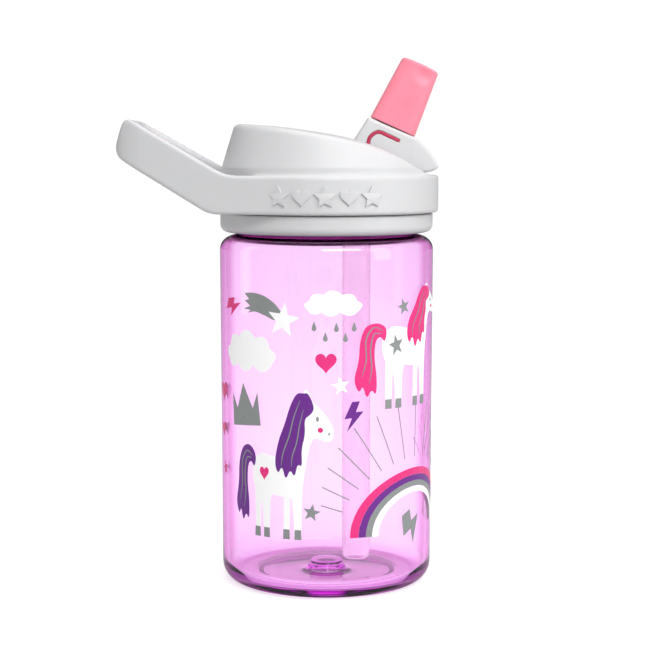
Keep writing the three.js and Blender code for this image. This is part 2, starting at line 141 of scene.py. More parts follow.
SPOUT_HALF = 9.2
SPOUT_TILT = math.radians(24.4)
SPOUT_UP = np.array([math.sin(SPOUT_TILT), 0, math.cos(SPOUT_TILT)])
SPOUT_ACROSS = np.array([math.cos(SPOUT_TILT), 0, -math.sin(SPOUT_TILT)])
PLATFORM = np.array([pivot_x + 7.3, 0, pivot_z + 8.3])
BARREL_R = 7.0
TRUNNION_R = 1.7
TRUNNION_END = 10.9
NOZZLE_R = 4.2
WAY_R = 2.0  # radius of the way the drink takes
SEAL_THICKNESS = 1.1
VALVE_LENGTH = 23.0
VALVE_SIDES = 4.2  # power of the section: 2 is an oval, and more is squarer


# ---- Mesh helpers ----


def new_object(name, mesh, body, slot, *materials):
    thing = bpy.data.objects.new(name, mesh)
    bpy.context.scene.collection.objects.link(thing)
    for material in materials:
        mesh.materials.append(material)
    mesh.polygons.foreach_set("use_smooth", [True] * len(mesh.polygons))
    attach(thing, body)
    return thing


def mesh_of(name, points_mm, faces):
    mesh = bpy.data.meshes.new(name)
    mesh.from_pydata(np.asarray(points_mm, float) * MM, [], faces)
    mesh.validate()
    mesh.update()
    return mesh


def arc(cx, cz, radius, start, end, steps):
    """Points round a circle in an outline, angles in degrees."""
    angles = np.radians(np.linspace(start, end, steps + 1))
    return [(cx + radius * math.cos(a), cz + radius * math.sin(a)) for a in angles]


def dense(profile, longest):
    """The same outline with no edge longer than that."""
    points = []
    for (r0, z0), (r1, z1) in itertools.pairwise(profile):
        cuts = max(1, math.ceil(math.hypot(r1 - r0, z1 - z0) / longest))
        points += [(r0 + (r1 - r0) * i / cuts, z0 + (z1 - z0) * i / cuts) for i in range(cuts)]
    return points + [profile[-1]]


def turned(name, profile, segments, closed=False, swell=None, x=0.0):
    """A turned mesh about a vertical axis. swell(r, angle, z) may change the radius."""
    rings = np.array(profile)
    angles = np.linspace(0, 2 * math.pi, segments, endpoint=False)
    points, faces, rows = [], [], []
    for r, z in rings:
        if r < 1e-6:
            rows.append([len(points)] * segments)
            points.append((x, 0, z))
            continue
        radii = np.full(segments, r) if swell is None else swell(r, angles, z)
        rows.append(list(range(len(points), len(points) + segments)))
        points += [(x + k * math.cos(a), k * math.sin(a), z) for k, a in zip(radii, angles)]
    pairs = list(itertools.pairwise(rows)) + ([(rows[-1], rows[0])] if closed else [])
    for low, high in pairs:
        for i in range(segments):
            j = (i + 1) % segments
            corners = list(dict.fromkeys((low[i], low[j], high[j], high[i])))
            if len(corners) > 2:
                faces.append(corners)
    return mesh_of(name, points, faces)


# ---- Distance fields: negative inside, in millimetres ----


def outline_distance(x, y, corners):
    """Distance to a closed flat outline."""
    corners = np.asarray(corners, float)
    nearest = np.full(x.shape, 1e12)
    inside = np.zeros(x.shape, bool)
    for (ax, ay), (bx, by) in zip(corners, np.roll(corners, -1, axis=0)):
        ex, ey = bx - ax, by - ay
        px, py = x - ax, y - ay
        t = np.clip((px * ex + py * ey) / max(ex * ex + ey * ey, 1e-12), 0, 1)
        nearest = np.minimum(nearest, (px - ex * t) ** 2 + (py - ey * t) ** 2)
        if ey:
            crosses = (ay > y) != (by > y)
            inside ^= crosses & (x < ax + ex * py / ey)
    return np.where(inside, -1, 1) * np.sqrt(nearest)


def both(a, b, radius):
    """Where both fields are inside, with a rounded edge."""
    u, v = np.maximum(a + radius, 0), np.maximum(b + radius, 0)
    return np.minimum(-radius, np.maximum(a, b)) + np.sqrt(u * u + v * v)


def either(a, b, radius):
    """Where either field is inside, with a fillet."""
    return -both(-a, -b, radius)


def without(a, b, radius):
    return both(a, -b, radius)


def slab(value, low, high):
    return np.maximum(low - value, value - high)


def rod_distance(x, y, z, start, end, radius):
    """A round bar with flat ends."""
    start, end = np.asarray(start, float), np.asarray(end, float)
    length = np.linalg.norm(end - start)
    axis = (end - start) / length
    px, py, pz = x - start[0], y - start[1], z - start[2]
    along = px * axis[0] + py * axis[1] + pz * axis[2]
    away = np.sqrt(np.maximum(px * px + py * py + pz * pz - along * along, 0))
    return np.maximum(away - radius, slab(along, 0, length))


def field_mesh(name, field, low, high, step):
    """The surface where a field is zero: one point in each cell it crosses, then moved onto it."""
    block = 4
    low = np.asarray(low, float) - 2 * step
    counts = np.ceil((np.asarray(high, float) - low + 3 * step) / (block * step)).astype(int)
    centres = [low[i] + step * (block * np.arange(counts[i]) + 1.5) for i in range(3)]
    grid = np.meshgrid(*centres, indexing="ij")
    rough = field(*(g.ravel() for g in grid)).reshape(counts)
    for axis in range(3):
        rough = np.repeat(rough, block, axis)
    values = rough
    near = np.nonzero(np.abs(rough) < 5.5 * step)
    values[near] = field(*(low[i] + step * near[i] for i in range(3)))
    inside = values < 0
    size = np.array(values.shape)
    corners = np.zeros(size - 1, np.uint8)
    for offset in itertools.product((0, 1), repeat=3):
        corners += inside[tuple(slice(o, o + n - 1) for o, n in zip(offset, size))]
    active = (corners > 0) & (corners < 8)
    cells = np.argwhere(active)
    number = np.full(size - 1, -1)
    number[active] = np.arange(len(cells))
    total, hits = np.zeros((len(cells), 3)), np.zeros(len(cells))
    for axis in range(3):
        unit = np.eye(3, dtype=int)[axis]
        for offset in itertools.product((0, 1), repeat=3):
            if offset[axis]:
                continue
            start = cells + offset
            end = start + unit
            a, b = values[tuple(start.T)], values[tuple(end.T)]
            crossed = (a < 0) != (b < 0)
            share = (a / np.where(crossed, a - b, 1))[crossed, None]
            total[crossed] += start[crossed] + share * unit
            hits[crossed] += 1
    points = low + step * total / hits[:, None]
    faces = []
    for axis in range(3):
        u, v = (axis + 1) % 3, (axis + 2) % 3
        ahead = [slice(None)] * 3
        behind = [slice(None)] * 3
        ahead[axis], behind[axis] = slice(1, None), slice(None, -1)
        first, second = inside[tuple(behind)], inside[tuple(ahead)]
        edges = np.argwhere(first != second)
        leaving = first[tuple(edges.T)]
        ring = []
        for du, dv in ((-1, -1), (0, -1), (0, 0), (-1, 0)):
            cell = edges.copy()
            cell[:, u] += du
            cell[:, v] += dv
            ring.append(number[tuple(cell.T)])
        quads = np.stack(ring, 1)
        quads[~leaving] = quads[~leaving][:, ::-1]
        faces.append(quads)
    for _ in range(4):
        slopes = []
        for axis in range(3):
            nudge = np.eye(3)[axis] * 0.02
            ahead, behind = points + nudge, points - nudge
            slopes.append((field(*ahead.T) - field(*behind.T)) / 0.04)
        slope = np.stack(slopes, 1)
        steepness = np.maximum((slope * slope).sum(1), 0.2)
        move = -field(*points.T) / steepness
        points += np.clip(move, -0.4 * step, 0.4 * step)[:, None] * slope
    return mesh_of(name, points, np.concatenate(faces))


# ---- Turned pieces ----


def ridge_share(angles, z, top_z, turned_by):
    """From 0 to 1, how high the screw thread stands at these angles and heights."""
    start = top_z - THREAD_LEAD * THREAD_TURNS
    share = np.zeros(np.shape(angles))
    for lap in range(2):
        along = lap + ((angles - turned_by + math.pi / 2) % (2 * math.pi)) / (2 * math.pi)
        middle = start + THREAD_LEAD * along
        fade = np.clip(np.minimum(along, THREAD_TURNS - along) / 0.06, 0, 1)
        flank = np.clip((1.3 - np.abs(z - middle)) / 0.8, 0, 1)
        share = np.maximum(share, flank * flank * (3 - 2 * flank) * fade)
    return share


def neck_swell(r, angles, z):
    if abs(r - NECK_R) > 0.01:
        return np.full(len(angles), r)
    return r + THREAD_HEIGHT * ridge_share(angles, z, NECK_THREAD_TOP, 0)


def bottle_profile():
    """From the middle of the underside, up the outside, over the rim and down the inside."""
    fillet = arc(FOOT_R - BASE_FILLET, BASE_FILLET, BASE_FILLET, -90, 0, 14)
    outer_bend, outer_rise = 5.8, 5.0
    shoulder = [
        (r, SHOULDER_Z + (z - SHOULDER_Z) * outer_rise / outer_bend)
        for r, z in arc(BODY_R - outer_bend, SHOULDER_Z, outer_bend, 0, 84, 14)
    ]
    outside = (
        [(0, 0.0), (5.0, 0.0)]
        + arc(5.0, 0.6, 0.6, -90, -20, 3)
        + arc(7.2, RECESS_Z - 0.6, 0.6, 160, 90, 3)
        + [(21.8, RECESS_Z)]
        + arc(22.0, RECESS_Z - 0.6, 0.6, 90, 20, 3)
        + arc(23.8, 0.6, 0.6, 200, 270, 3)
        + fillet
        + shoulder
        + arc(NECK_R + 0.5, NECK_BASE_Z + 0.5, 0.5, 250, 180, 3)
    )
    neck = dense([(NECK_R, NECK_BASE_Z + 0.6), (NECK_R, RIM_Z - RIM_EDGE)], 0.3)
    rim = arc(NECK_R - RIM_EDGE, RIM_Z - RIM_EDGE, RIM_EDGE, 0, 90, 4)
    rim += arc(MOUTH_R + RIM_EDGE, RIM_Z - RIM_EDGE, RIM_EDGE, 90, 180, 4)
    inner_bend, inner_rise = 3.8, 3.5
    under_shoulder = [
        (r, SHOULDER_Z + (z - SHOULDER_Z) * inner_rise / inner_bend)
        for r, z in arc(BODY_R - WALL - inner_bend, SHOULDER_Z, inner_bend, 80, 0, 10)
    ]
    inside = (
        arc(MOUTH_R + 1.4, NECK_BASE_Z - 0.3, 1.4, 180, 262, 5)
        + under_shoulder
        + arc(FOOT_R - BASE_FILLET, INNER_FILLET_Z, INNER_FILLET, 0, -90, 12)
    )
    floor = [(21.0, 3.0), (14.0, 2.75), (9.2, 2.7)]
    bump = arc(7.6, 3.7, 1.0, 250, 205, 3) + arc(4.4, 5.2, 1.3, 25, 80, 5) + [(2.5, 6.6), (0, 6.65)]
    return dense(outside, 4.0) + neck + rim + dense(inside, 4.0) + floor + bump


def make_bottle(material):
    mesh = turned("bottle_body_clear", bottle_profile(), 192, swell=neck_swell)
    return new_object("bottle_body_clear", mesh, "bottle", "tinted_plastic", material)


def round_ring(inner, outer, low, high, edge):
    """The section of a ring or a tube with rounded edges."""
    return (
        arc(inner + edge, low + edge, edge, 180, 270, 4)
        + arc(outer - edge, low + edge, edge, 270, 360, 4)
        + dense([(outer, low + edge), (outer, high - edge)], 6)[1:-1]
        + arc(outer - edge, high - edge, edge, 0, 90, 4)
        + arc(inner + edge, high - edge, edge, 90, 180, 4)
        + dense([(inner, high - edge), (inner, low + edge)], 6)[1:-1]
    )


def make_gasket(material):
    gap = 0.02
    ring = round_ring(MOUTH_R + 0.1, gasket_high[0] - gap, gasket_low[2] + gap, gasket_high[2] - gap, 0.5)
    mesh = turned("neck_gasket_ring", ring, 128, closed=True)
    return new_object("neck_gasket_ring", mesh, "gasket", "clear_silicone", material)


def make_straw(material):
    ring = round_ring(STRAW_R - STRAW_WALL, STRAW_R, straw_low[2], straw_high[2], 0.35)
    mesh = turned("drinking_straw", ring, 64, closed=True, x=STRAW_X)
    return new_object("drinking_straw", mesh, "lid", "straw_plastic", material)


def make_vent_valve(material):
    """A mushroom: a thin skirt below the plate, a stem through it and a bead that holds it."""
    low, high = vent_low[2], vent_high[2]
    plug = [(0, low), (2.0, low + 0.1), (3.6, low + 0.55)] + arc(3.6, low + 0.9, 0.3, -60, 90, 5)
    plug += [(1.5, low + 1.2), (1.0, low + 1.6), (1.0, high - 1.95)]
    plug += arc(1.35, high - 1.7, 0.35, 250, 400, 5) + [(1.0, high - 0.3), (0.6, high - 0.05), (0, high)]
    mesh = turned("vent_valve_plug", plug, 48, x=vent_x)
    return new_object("vent_valve_plug", mesh, "lid", "clear_silicone", material)


# ---- Moulded pieces from distance fields ----


def moulded(node, form, field, step, body, slot, material):
    """The piece node_form from its field, within its CAD node's box, with points a step apart."""
    name = f"{node}_{form}"
    return new_object(name, field_mesh(name, field, *box_mm(node), step), body, slot, material)


# The dome's top in the side view, falling towards the spout.
TOP_LINE = [
    (-40, 157.2), (-29.5, 156.9), (-13, 155.7), (7.3, 152.3), (22, 147.0), (33.7, 140.3), (42, 135.0),
]


def natural_curve(points, samples):
    """A smooth curve through points, in Catmull-Rom pieces."""
    points = np.asarray(points, float)
    padded = np.vstack([2 * points[0] - points[1], points, 2 * points[-1] - points[-2]])
    result = []
    for p0, p1, p2, p3 in zip(padded, padded[1:], padded[2:], padded[3:]):
        for t in np.linspace(0, 1, samples, endpoint=False):
            result.append(
                0.5 * (2 * p1 + (p2 - p0) * t + (2 * p0 - 5 * p1 + 4 * p2 - p3) * t * t
                       + (3 * p1 - p0 - 3 * p2 + p3) * t ** 3)
            )
    return np.array(result + [points[-1]])


top_curve = natural_curve(TOP_LINE, 12)


def dome_top_distance(x, y, z, drop):
    """Above the dome's sloping top, which falls a little to each side."""
    crown = 0.0009 * y * y
    height = np.interp(x, top_curve[:, 0], top_curve[:, 1]) - drop - crown
    slope = np.interp(x, top_curve[:, 0], np.gradient(top_curve[:, 1], top_curve[:, 0]))
    return (z - height) / np.sqrt(1 + slope * slope)


def loop_outline(inset):
    """Half plan of the loop: an arm along the band's tangent, a round corner and the end bar."""
    reach = math.hypot(LOOP_CORNER_X, LOOP_HALF)
    lean = math.acos(BAND_R / reach) + math.atan2(LOOP_HALF, -LOOP_CORNER_X)
    offset = BAND_R - inset
    end_x = LOOP_END + (END_BAR if inset else 0)
    corner = 7.0 if inset else 11.0

    def arm_y(x):
        return (offset + x * math.cos(lean)) / math.sin(lean)

    start = -offset * math.cos(lean)
    upper = [(start, arm_y(start)), (end_x + corner, arm_y(end_x + corner))]
    a, b, c = upper[1], (end_x, arm_y(end_x)), (end_x, arm_y(end_x) - corner)
    for t in np.linspace(0, 1, 12)[1:]:
        s = 1 - t
        upper.append(tuple(s * s * np.array(a) + 2 * s * t * np.array(b) + t * t * np.array(c)))
    return upper + [(x, -y) for x, y in reversed(upper)]


def bend(a, b, c, steps=8):
    """A round bend from a to c about the corner b."""
    a, b, c = (np.array(p, float) for p in (a, b, c))
    return [
        tuple((1 - t) ** 2 * a + 2 * t * (1 - t) * b + t * t * c) for t in np.linspace(0, 1, steps)
    ]


def loop_side():
    return (
        [(60, BAND_BOTTOM)]
        + bend((-36.0, BAND_BOTTOM), (-39.5, BAND_BOTTOM + 0.2), (-42.6, 129.5))
        + bend((-68.4, 144.7), (-71.6, 146.6), (LOOP_END, 149.6))
        + bend((-68.7, 155.6), (-67.4, 159.3), (-64.2, 157.7))
        + bend((-37.6, 142.4), (-33.6, BAND_TOP), (-29, BAND_TOP))
        + [(60, BAND_TOP)]
    )


LOOP_SIDE = loop_side()
LOOP_PLAN = loop_outline(0)
FINGER_PLAN = loop_outline(5.0)
DOME = [(-5, 110), (36.2, 110), (36.2, 127.1), (35.7, 142.3), (30.9, 158.0), (30.3, 160), (-5, 160)]


def shell_field(x, y, z):
    """Band, loop and dome in one, hollow inside, with the spout's slot open to the front."""
    r = np.hypot(x, y)
    plan = np.minimum(r - BAND_R, outline_distance(x, y, LOOP_PLAN))
    ring = both(plan, outline_distance(x, z, LOOP_SIDE), BAND_EDGE)
    ring = without(ring, outline_distance(x, y, FINGER_PLAN), 1.1)
    dome = both(outline_distance(r, z, DOME), dome_top_distance(x, y, z, 0), 1.8)
    body = either(ring, dome, 1.0)
    body = np.maximum(body, BAND_BOTTOM - z)
    bore = np.maximum(r - SHELL_BORE, z - SHELL_LEDGE_Z)
    hollow = np.maximum(
        outline_distance(r, z, [(-5, 100), (33.9, 100), (33.9, 142.3), (28.9, 158.5), (-5, 158.5)]),
        dome_top_distance(x, y, z, SHELL_WALL),
    )
    body = without(body, np.minimum(bore, hollow), 0.25)
    slot = np.maximum(slab(x, SLOT_START, SLOT_END), np.maximum(np.abs(y) - SLOT_HALF, SLOT_FLOOR_Z - z))
    mouth = np.maximum(np.maximum(-x, np.abs(y) - SLOT_HALF), BAND_TOP - z)
    return without(body, np.minimum(slot, mouth), 0.7)


def make_shell(material):
    return moulded("lid_shell", "moulding", shell_field, 0.53, "lid", "lid_plastic", material)


def cradle_field(x, y, z):
    """A trough under the dome's top, with bearing holes in its walls and openings in its floor."""
    block = np.maximum(np.abs(y) - CRADLE_HALF, slab(x, cradle_low[0], cradle_high[0]))
    block = both(block, dome_top_distance(x, y, z, 0.35), 0.4)
    block = np.maximum(block, cradle_low[2] - z)
    inside = slab(x, cradle_low[0] + CRADLE_WALL, cradle_high[0] - CRADLE_WALL)
    trough = both(both(np.abs(y) - TROUGH_HALF, inside, 1.0), TROUGH_FLOOR_Z - z, 0.8)
    block = without(block, trough, 0.3)
    end = np.maximum(cradle_high[0] - 5 - x, BAND_TOP - 0.2 - z)
    seal = np.maximum(slab(x, *SEAL_OPENING), np.abs(y) - SEAL_OPENING_HALF)
    vent = np.hypot(x - vent_x, y) - VENT_OPENING_R
    bearing = np.hypot(x - pivot_x, z - pivot_z) - BEARING_R
    block = without(block, bearing, 0.7)
    return np.maximum(block, -np.minimum.reduce([end, seal, vent]))


def make_cradle(material):
    return moulded("spout_cradle", "moulding", cradle_field, 0.32, "lid", "lid_plastic", material)


COLLAR = (
    [(-5, COLLAR_BOTTOM), (COLLAR_R - 3.4, COLLAR_BOTTOM)]
    + arc(COLLAR_R - 2.7, COLLAR_BOTTOM + 2.8, 2.7, -84, 0, 10)
    + [(COLLAR_R, COLLAR_STEP_Z), (PLUG_R, COLLAR_STEP_Z), (PLUG_R, PLATE_TOP), (-5, PLATE_TOP)]
)


def flow_distance(x, y, z):
    """The straight way of the drink, from the straw's top to the spout's platform."""
    inlet = np.array([11.4, 0, CEILING])
    way = (PLATFORM - inlet) / np.linalg.norm(PLATFORM - inlet)
    return rod_distance(x, y, z, inlet - 3 * way, PLATFORM + way, WAY_R)


def collar_field(x, y, z):
    """The ring with its inside thread, the ceiling plate and the straw's socket."""
    r = np.hypot(x, y)
    ridge = ridge_share(np.arctan2(y, x), z, LID_THREAD_TOP, LID_THREAD_TURN)
    bore = np.maximum((r - COLLAR_BORE + THREAD_HEIGHT * ridge) * 0.6, z - CEILING)
    body = without(outline_distance(r, z, COLLAR), bore, 0.35)
    from_straw = np.hypot(x - STRAW_X, y)
    socket = both(from_straw - SOCKET_R, slab(z, SOCKET_BOTTOM_Z, CEILING + 1), 0.3)
    body = either(body, socket, 0.8)
    body = without(body, np.maximum(from_straw - SOCKET_BORE, z - CEILING), 0.3)
    vent = np.hypot(x - vent_x, y) - 1.3
    return np.maximum(body, -np.minimum(flow_distance(x, y, z), vent))


def make_collar(material):
    return moulded("threaded_collar", "ring", collar_field, 0.45, "lid", "lid_plastic", material)


# The cheek seal: up beside the pivot, over, and down along the spout's shoulder.
SEAL_LINE = natural_curve(
    [(13.9, 150.0), (14.7, 152.5), (17.4, 154.1), (20.9, 152.8), (24.1, 151.3)], 10
)
HOUSING_SIDE = (
    [(9.14, 151.1), (pivot_x, pivot_z), (18.5, 142.5)]
    + bend((31.2, 140.4), (35.2, 140.4), (37.2, 141.7))
    + bend((37.4, 141.9), (38.2, 142.5), (37.4, 143.7))
    + bend((36.4, 145.4), (34.0, 148.9), (30.1, 152.2))
    + [(14.2, 159.0)]
)


def line_distance(x, z, points):
    """Distance to an open line in the side view."""
    nearest = np.full(x.shape, 1e12)
    for (ax, az), (bx, bz) in itertools.pairwise(points):
        ex, ez = bx - ax, bz - az
        t = np.clip(((x - ax) * ex + (z - az) * ez) / (ex * ex + ez * ez), 0, 1)
        nearest = np.minimum(nearest, (x - ax - ex * t) ** 2 + (z - az - ez * t) ** 2)
    return np.sqrt(nearest)


def housing_field(x, y, z):
    """The spout: a barrel on two trunnions, its shoulders and thumb tab, and the valve's nozzle."""
    width = np.abs(y) - SPOUT_HALF
    from_pivot = np.hypot(x - pivot_x, z - pivot_z)
    side = np.minimum(from_pivot - BARREL_R, outline_distance(x, z, HOUSING_SIDE))
    lever = np.maximum(0, x - 29) * 0.12
    body = both(side, width + lever, 1.0)
    trunnions = np.maximum(from_pivot - TRUNNION_R, np.abs(y) - TRUNNION_END)
    body = either(body, trunnions, 0.3)
    nozzle = rod_distance(x, y, z, PLATFORM - 3 * SPOUT_UP, PLATFORM + 8 * SPOUT_UP, NOZZLE_R)
    body = either(body, nozzle, 0.6)
    ways = np.minimum(
        flow_distance(x, y, z),
        rod_distance(x, y, z, PLATFORM - SPOUT_UP, PLATFORM + 9 * SPOUT_UP, WAY_R),
    )
    groove = line_distance(x, z, SEAL_LINE) - SEAL_THICKNESS / 2 - 0.07
    return without(body, np.minimum(ways, groove), 0.12)


def make_housing(material):
    return moulded("spout_housing", "moulding", housing_field, 0.3, "spout", "lid_plastic", material)


def seal_field(x, y, z):
    """A soft layer along the cheek line, right through the spout and a little proud of it."""
    thick = line_distance(x, z, SEAL_LINE) - SEAL_THICKNESS / 2
    sheet = both(thick, np.abs(y) - SPOUT_HALF - 0.08, 0.15)
    return np.maximum(sheet, -(flow_distance(x, y, z) - 0.2))


def make_spout_seal(material):
    return moulded("spout_seal", "layer", seal_field, 0.22, "spout", "crimson_silicone", material)


def valve_field(x, y, z):
    """The bite valve, worked out along its own leaning axis."""
    px, pz = x - PLATFORM[0], z - PLATFORM[2]
    along = px * SPOUT_UP[0] + pz * SPOUT_UP[2] - 0.3
    across = px * SPOUT_ACROSS[0] + pz * SPOUT_ACROSS[2]
    share = np.clip(along / VALVE_LENGTH, 0, 1)
    half_a, half_b = 8.2 - 1.6 * share, 8.7 - 0.4 * share
    ring = np.abs(across / half_a) ** VALVE_SIDES + np.abs(y / half_b) ** VALVE_SIDES
    ring = (ring + 1e-9) ** (1 / VALVE_SIDES)
    side = (ring - 1) * half_a
    crown = along - VALVE_LENGTH + 0.006 * across * across
    body = both(side, crown, 0.8)
    body = both(body, -along, 0.35)
    dimple = np.sqrt((across / 1.6) ** 2 + (y / 4.5) ** 2 + ((along - VALVE_LENGTH) / 0.9) ** 2) - 1
    body = without(body, dimple * 0.9, 0.5)
    thumb = ((across - 3.0) / 3.0) ** 2 + ((along - 19.9) / 2.2) ** 2 + ((np.abs(y) - 8.8) / 1.5) ** 2
    body = without(body, (np.sqrt(thumb) - 1) * 0.9, 0.8)
    middle = np.hypot(across, y)
    socket = np.maximum(middle - 4.5, along - 8.6)
    chamber = np.maximum(middle - 3.0, along - VALVE_LENGTH + 2.2)
    slit = np.maximum(np.abs(across) - 0.3, np.maximum(np.abs(y) - 3.6, 19 - along))
    return np.maximum(body, -np.minimum.reduce([socket, chamber, slit]))


def make_bite_valve(material):
    return moulded("bite_valve", "soft", valve_field, 0.3, "spout", "pink_silicone", material)


def pivot_seal_field(x, y, z):
    """A block hollowed to the spout's barrel, with the drink's way through it."""
    low, high = box_mm("pivot_seal")
    block = both(slab(x, low[0], high[0]), np.abs(y) - PIVOT_SEAL_HALF, 1.2)
    block = both(block, slab(z, low[2], high[2]), 0.2)
    saddle = BARREL_R + 0.2 - np.hypot(x - pivot_x, z - pivot_z)
    block = both(block, saddle, 0.2)
    block = both(block, np.where(x < 14.3, z - 140.1, -5), 0.1)
    return np.maximum(block, -flow_distance(x, y, z))


def make_pivot_seal(material):
    return moulded("pivot_seal", "saddle", pivot_seal_field, 0.25, "lid", "clear_silicone", material)


# ---- Materials ----


def new_material(name):
    material = bpy.data.materials.new(name)
    material.use_nodes = True
    nodes, links = material.node_tree.nodes, material.node_tree.links
    return material, nodes, links, nodes["Principled BSDF"]


def add(nodes, kind, **settings):
    """A new node. Names that are sockets set the socket, and the rest are the node's own."""
    node = nodes.new(kind)
    for key, value in settings.items():
        socket = key.replace("_", " ")
        if socket in node.inputs:
            node.inputs[socket].default_value = value
        else:
            setattr(node, key, value)
    return node


def set_shader(shader, **values):
    for key, value in values.items():
        shader.inputs[key.replace("_", " ")].default_value = value


def object_place(nodes):
    """Texture coordinates in metres, the same at any scale of detail."""
    return add(nodes, "ShaderNodeTexCoord").outputs["Object"]


def noise(nodes, links, place, scale, detail=2.0, roughness=0.5):
    node = add(nodes, "ShaderNodeTexNoise", Scale=scale, Detail=detail, Roughness=roughness)
    links.new(place, node.inputs["Vector"])
    return node.outputs["Fac"]


def ranged(nodes, links, value, low, high, start=0.0, end=1.0):
    node = add(nodes, "ShaderNodeMapRange")
    node.inputs["From Min"].default_value = start
    node.inputs["From Max"].default_value = end
    node.inputs["To Min"].default_value = low
    node.inputs["To Max"].default_value = high
    links.new(value, node.inputs["Value"])
    return node.outputs["Result"]


def two_colours(nodes, links, factor, first, second):
    ramp = add(nodes, "ShaderNodeValToRGB")
    ramp.color_ramp.elements[0].color = (*first, 1)
    ramp.color_ramp.elements[1].color = (*second, 1)
    ramp.color_ramp.elements[0].position = 0.3
    ramp.color_ramp.elements[1].position = 0.7
    links.new(factor, ramp.inputs["Fac"])
    return ramp.outputs["Color"]


def bump(nodes, links, shader, heights, distance):
    """Bumps stacked one on another, from (height socket, strength) pairs."""
    previous = None
    for height, strength in heights:
        node = add(nodes, "ShaderNodeBump", Strength=strength, Distance=distance)
        links.new(height, node.inputs["Height"])
        if previous:
            links.new(previous, node.inputs["Normal"])
        previous = node.outputs["Normal"]
    links.new(previous, shader.inputs["Normal"])


def moulded_plastic(name, colour, deeper, rough):
    """Opaque satin plastic: fine spark-eroded grain, slow sheen changes and faint handling marks."""
    material, nodes, links, shader = new_material(name)
    place = object_place(nodes)
    grain = noise(nodes, links, place, 4200, 1.0)
    cloud = noise(nodes, links, place, 60, 3.0)
    stretch = add(nodes, "ShaderNodeMapping")
    stretch.inputs["Scale"].default_value = (1.0, 1.0, 9.0)
    links.new(place, stretch.inputs["Vector"])
    marks = noise(nodes, links, stretch.outputs["Vector"], 260, 4.0, 0.7)
    links.new(two_colours(nodes, links, cloud, colour, deeper), shader.inputs["Base Color"])
    worn = add(nodes, "ShaderNodeMath", operation="ADD")
    links.new(ranged(nodes, links, cloud, rough - 0.05, rough + 0.06, 0.3, 0.7), worn.inputs[0])
    links.new(ranged(nodes, links, marks, 0.0, 0.08, 0.62, 0.75), worn.inputs[1])
    links.new(worn.outputs["Value"], shader.inputs["Roughness"])
    set_shader(shader, IOR=1.49, Subsurface_Weight=0.06, Subsurface_Scale=0.002)
    bump(nodes, links, shader, [(cloud, 0.05), (grain, 0.10)], 0.0002)
    return material


def silicone(name, colour, deeper, rough, milky=0.25):
    """Soft rubber: light runs under the skin, which has a dry bloom and a very fine grain."""
    material, nodes, links, shader = new_material(name)
    place = object_place(nodes)
    grain = noise(nodes, links, place, 5200, 1.5)
    cloud = noise(nodes, links, place, 130, 3.0)
    links.new(two_colours(nodes, links, cloud, colour, deeper), shader.inputs["Base Color"])
    bloom = ranged(nodes, links, cloud, rough - 0.07, rough + 0.08, 0.3, 0.7)
    links.new(bloom, shader.inputs["Roughness"])
    set_shader(
        shader, IOR=1.42, Subsurface_Weight=milky, Subsurface_Scale=0.0022,
        Subsurface_Radius=(1.0, 0.45, 0.4), Sheen_Weight=0.12, Sheen_Roughness=0.4,
    )
    bump(nodes, links, shader, [(cloud, 0.06), (grain, 0.12)], 0.0002)
    return material


def clear_plastic(name, tint, density, rough, rim=(1, 1, 1), neck=None, wave=0.03):
    """See-through plastic whose colour comes from its thickness, with moulding ripple.

    Seen edge-on it takes the rim colour, as a thick wall does. A neck is (colour, low, high):
    the wall is painted to that colour between the two heights, a painted shade standing for the lid's
    shadow on the heavy neck wall."""
    material, nodes, links, shader = new_material(name)
    place = object_place(nodes)
    ripple = noise(nodes, links, place, 45, 1.0)
    smear = noise(nodes, links, place, 220, 4.0, 0.65)
    set_shader(shader, Transmission_Weight=1.0, IOR=1.42)
    edge_on = add(nodes, "ShaderNodeLayerWeight", Blend=0.5)
    facing = ranged(nodes, links, edge_on.outputs["Facing"], 0.0, 1.0, 0.45, 0.85)
    colour = two_colours(nodes, links, facing, (1, 1, 1), rim)
    # Painted shade: by height, the colour is mixed towards the dark neck colour, for the lid's shadow on
    # the heavy neck wall.
    if neck:
        painted_shade_colour, low, high = neck
        split = add(nodes, "ShaderNodeSeparateXYZ")
        links.new(place, split.inputs["Vector"])
        mix = add(nodes, "ShaderNodeMix", data_type="RGBA")
        links.new(ranged(nodes, links, split.outputs["Z"], 0.0, 1.0, low, high), mix.inputs[0])
        links.new(colour, mix.inputs[6])
        mix.inputs[7].default_value = (*painted_shade_colour, 1)
        colour = mix.outputs[2]
    links.new(colour, shader.inputs["Base Color"])
    links.new(ranged(nodes, links, smear, rough, rough + 0.05, 0.5, 0.8), shader.inputs["Roughness"])
    bump(nodes, links, shader, [(ripple, wave)], 0.0004)
    absorb = add(nodes, "ShaderNodeVolumeAbsorption", Color=(*tint, 1), Density=density)
    links.new(absorb.outputs["Volume"], nodes["Material Output"].inputs["Volume"])
    return material


def print_ink(name, colour, glow=0.0):
    """Screen-print ink: a slight gloss, the faint weave of the screen, and for thin white ink
    a painted glow that stands in for the light that comes through it from the bottle."""
    material, nodes, links, shader = new_material(name)
    place = object_place(nodes)
    weave = noise(nodes, links, place, 6500, 0.5)
    pool = noise(nodes, links, place, 320, 3.0)
    deeper = tuple(0.97 * c for c in colour)
    links.new(two_colours(nodes, links, pool, colour, deeper), shader.inputs["Base Color"])
    links.new(ranged(nodes, links, pool, 0.26, 0.38, 0.3, 0.7), shader.inputs["Roughness"])
    # Painted light: a small emission glow on the ink, standing for light from behind through the bottle.
    set_shader(shader, Emission_Color=(1, 1, 1, 1), Emission_Strength=glow)
    bump(nodes, links, shader, [(weave, 0.08), (pool, 0.05)], 0.0001)
    return material


